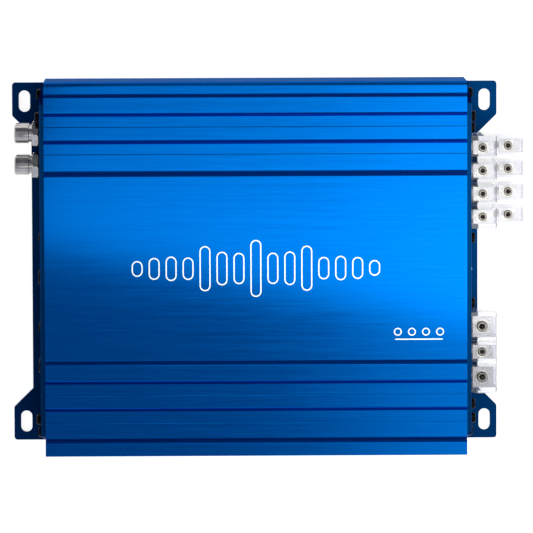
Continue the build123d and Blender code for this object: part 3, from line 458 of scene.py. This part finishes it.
def channel_mark():
    """Four small rings over a line, low on the right of the main panel."""
    count, ring, stroke, pitch = 4, 3.6 * MM, 0.5 * MM, 6.4 * MM
    ring_rise, line_drop = 0.8 * MM, 2.6 * MM
    line_length = 3.4 * pitch
    hole = ring - 2 * stroke
    middle = Vector((74.0 * MM, -29.5 * MM, TOP))
    builder = bmesh.new()
    for number in range(count):
        along = (number - (count - 1) / 2) * pitch
        place = Matrix.Translation(middle + Vector((along, ring_rise, 0.0)))
        add_band(builder, capsule(ring, ring), capsule(hole, hole), place)
    below = Matrix.Translation(middle - Vector((0.0, line_drop, 0.0)))
    add_patch(builder, capsule(stroke, line_length, steps=4), below @ LYING)
    print_on_body("panel_print_channel_rings", builder)


def on_plate(end, y, z):
    """A place on the outer face of an end plate, with its own +Z pointing out and +Y up."""
    across = Vector((0.0, end, 0.0))
    up = Vector((0.0, 0.0, 1.0))
    turn = Matrix((across, up, across.cross(up))).transposed().to_4x4()
    return Matrix.Translation((end * PLATE_FACE, y, z)) @ turn


def middle_of(node):
    """The centre of a CAD node's box."""
    low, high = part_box(node)
    return (low + high) / 2


def dot(radius):
    """Points round a small disc."""
    return capsule(2 * radius, 2 * radius, steps=6)


def bar(length, width=STROKE):
    """Points round a rectangle that stands upright on the origin's centre."""
    half_width, half_length = width / 2, length / 2
    corners = ((-1, -1), (1, -1), (1, 1), (-1, 1))
    return [(x * half_width, y * half_length) for x, y in corners]


def level_scales():
    """Eleven ticks round each level knob, longest at the middle and at both ends of its turn."""
    ticks, sweep, inner = 11, math.radians(280.0), 4.2 * MM
    long_tick, short_tick, width = 0.9 * MM, 0.55 * MM, 0.28 * MM
    builder = bmesh.new()
    for number, row in SETTING_PLACES:
        knob = on_plate(-1, *middle_of(f"level_knob_{row}_{number}").yz)
        for tick in range(ticks):
            length = long_tick if tick % 5 == 0 else short_tick
            angle = sweep * (tick / (ticks - 1) - 0.5)
            out = Matrix.Translation((0.0, inner + length / 2, 0.0))
            add_patch(builder, bar(length, width), knob @ Matrix.Rotation(angle, 4, "Z") @ out)
    print_on_body("input_print_level_scales", builder)


def switch_marks():
    """A filled dot at one end of each switch slot and an open ring at the other."""
    reach, radius, stroke = 5.4 * MM, 0.55 * MM, 0.2 * MM
    builder = bmesh.new()
    for number, row in SETTING_PLACES:
        y, z = middle_of(f"switch_lever_{row}_{number}").yz
        add_patch(builder, dot(radius), on_plate(-1, y - reach, z))
        add_band(builder, dot(radius), dot(radius - stroke), on_plate(-1, y + reach, z))
    print_on_body("input_print_switch_marks", builder)


def jack_outlines():
    """A rounded outline round each row of two input jacks."""
    low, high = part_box("rca_washers")
    margin, stroke, row_height = 0.5 * MM, 0.3 * MM, 13.4 * MM
    length = high.y - low.y + 2 * margin
    middle_y = (low.y + high.y) / 2
    washer_radius = (high.y - low.y - JACK_PITCH) / 2
    outer = capsule(row_height, length)
    inner = capsule(row_height - 2 * stroke, length - 2 * stroke)
    builder = bmesh.new()
    for z in (low.z + washer_radius, high.z - washer_radius):
        add_band(builder, outer, inner, on_plate(-1, middle_y, z) @ LYING)
    print_on_body("input_print_jack_outlines", builder)


def polarity_marks():
    """Plus and minus signs over the speaker and power ports."""
    size, rise = 1.9 * MM, 4.2 * MM
    stub = (size - STROKE) / 2
    ports = [(f"speaker_clamp_screw_upper_{column}", column % 2 == 1) for column in range(1, 5)]
    ports += [("power_clamp_screw_supply", True), ("power_clamp_screw_ground", False)]
    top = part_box("speaker_terminal_housing")[1].z
    builder = bmesh.new()
    for screw, is_plus in ports:
        place = on_plate(1, middle_of(screw).y, top + rise)
        add_patch(builder, bar(size), place @ LYING)
        for side in (-1, 1) if is_plus else ():
            beside = Matrix.Translation((0.0, side * (STROKE + stub) / 2, 0.0))
            add_patch(builder, bar(stub), place @ beside)
    print_on_body("output_print_polarity_marks", builder)


# --- studio ------------------------------------------------------------------------------
def floor():
    """A wide white table top, lit a little from below, just under the amplifier."""
    reach, gap = 30.0, 0.1 * MM
    white, faint = 0.5, 0.4925
    paper = Surface("studio_paper", (white, white, white), 0.8)
    paper.set(**{"Emission Color": (1.0, 1.0, 1.0, 1.0), "Emission Strength": 0.85})
    paper.colours(paper.grain((3.0, 3.0, 3.0), detail=2.0), (faint,) * 3, (white,) * 3)
    builder = bmesh.new()
    corners = [(-reach, -reach), (reach, -reach), (reach, reach), (-reach, reach)]
    builder.faces.new([builder.verts.new((x, y, cad_low.z - gap)) for x, y in corners])
    new_object("studio_floor", builder, paper.material)


SOFTBOX_COLOUR = (1.0, 0.985, 0.86)
SKY_COLOUR = (0.94, 0.97, 1.10, 1.0)


def softbox(name, corner, size, turn, radiance, fades=()):
    """A rectangular light that faces straight down, placed by its left front corner.

    Each fade is an axis, two places along it and the share of the light left from the second on.
    """
    light = bpy.data.lights.new(name, "AREA")
    light.shape = "RECTANGLE"
    light.size, light.size_y = size
    light.energy = radiance * math.pi * size[0] * size[1]
    light.color = SOFTBOX_COLOUR
    light.use_nodes = True
    tree = light.node_tree
    position = add_node(tree, "ShaderNodeNewGeometry").outputs["Position"]
    place = add_node(tree, "ShaderNodeSeparateXYZ", {0: position})
    strength = 1.0
    for axis, start, stop, share in fades:
        fade = map_range(tree, place.outputs[axis], (start, stop), (1.0, share))
        product = add_node(tree, "ShaderNodeMath", {0: fade, 1: strength}, operation="MULTIPLY")
        strength = product.outputs[0]
    if fades:
        tree.links.new(strength, tree.nodes["Emission"].inputs["Strength"])
    lamp = bpy.data.objects.new(name, light)
    scene.collection.objects.link(lamp)
    lamp.rotation_euler = (0.0, 0.0, turn)
    to_middle = Vector((size[0] / 2, size[1] / 2, 0.0))
    lamp.location = Vector(corner) + Matrix.Rotation(turn, 3, "Z") @ to_middle
    lamp.visible_camera = False


def sky(overhead, front, back):
    """Light from all round: dim overhead, bright low down in front (-Y) and dim behind."""
    world = bpy.data.worlds.new("studio_surround")
    world.use_nodes = True
    tree = world.node_tree
    direction = add_node(tree, "ShaderNodeTexCoord").outputs["Generated"]
    split = add_node(tree, "ShaderNodeSeparateXYZ", {0: direction}).outputs
    smooth = {"interpolation_type": "SMOOTHSTEP"}
    around = map_range(tree, split["Y"], (-0.5, 0.5), (front, back), **smooth)
    level = map_range(tree, split["Z"], (0.70, 0.90), (around, overhead), **smooth)
    background = tree.nodes["Background"]
    background.inputs["Color"].default_value = SKY_COLOUR
    tree.links.new(level, background.inputs["Strength"])
    scene.world = world


def camera():
    """A long lens nearly straight above, leaning a little towards +Y and -X."""
    lean_y, lean_x, roll = math.radians(-5.1), math.radians(-0.65), math.radians(-0.2)
    distance, lens, sensor = 2.5, 372.0, 36.0
    target = Vector((4.8 * MM, 1.35 * MM, TOP))
    view = bpy.data.objects.new("camera", bpy.data.cameras.new("camera"))
    scene.collection.objects.link(view)
    view.rotation_euler = (lean_y, lean_x, roll)
    forward = view.rotation_euler.to_matrix() @ Vector((0.0, 0.0, -1.0))
    view.location = target - forward * distance
    view.data.sensor_width = sensor
    view.data.lens = lens
    view.data.clip_start, view.data.clip_end = 0.1, 60.0
    scene.camera = view


camera()
finish_cad_nodes()
panel_emblem()
channel_mark()
level_scales()
switch_marks()
jack_outlines()
polarity_marks()
floor()
sky(overhead=0.43, front=0.9, back=0.17)
softbox(
    "wide_softbox",
    corner=(-0.111, 0.0021, 0.13 + TOP),
    size=(0.50, 0.30),
    turn=math.radians(-10.9),
    radiance=2.3,
    fades=[("Y", 0.010, 0.062, 0.5), ("Y", 0.10, 0.20, 0.6), ("X", 0.0, -0.11, 0.75)],
)
softbox("side_softbox", corner=(0.078, -0.58, 0.85 + TOP), size=(0.80, 1.00), turn=0.0, radiance=1.5)
scene.view_settings.view_transform = "Standard"
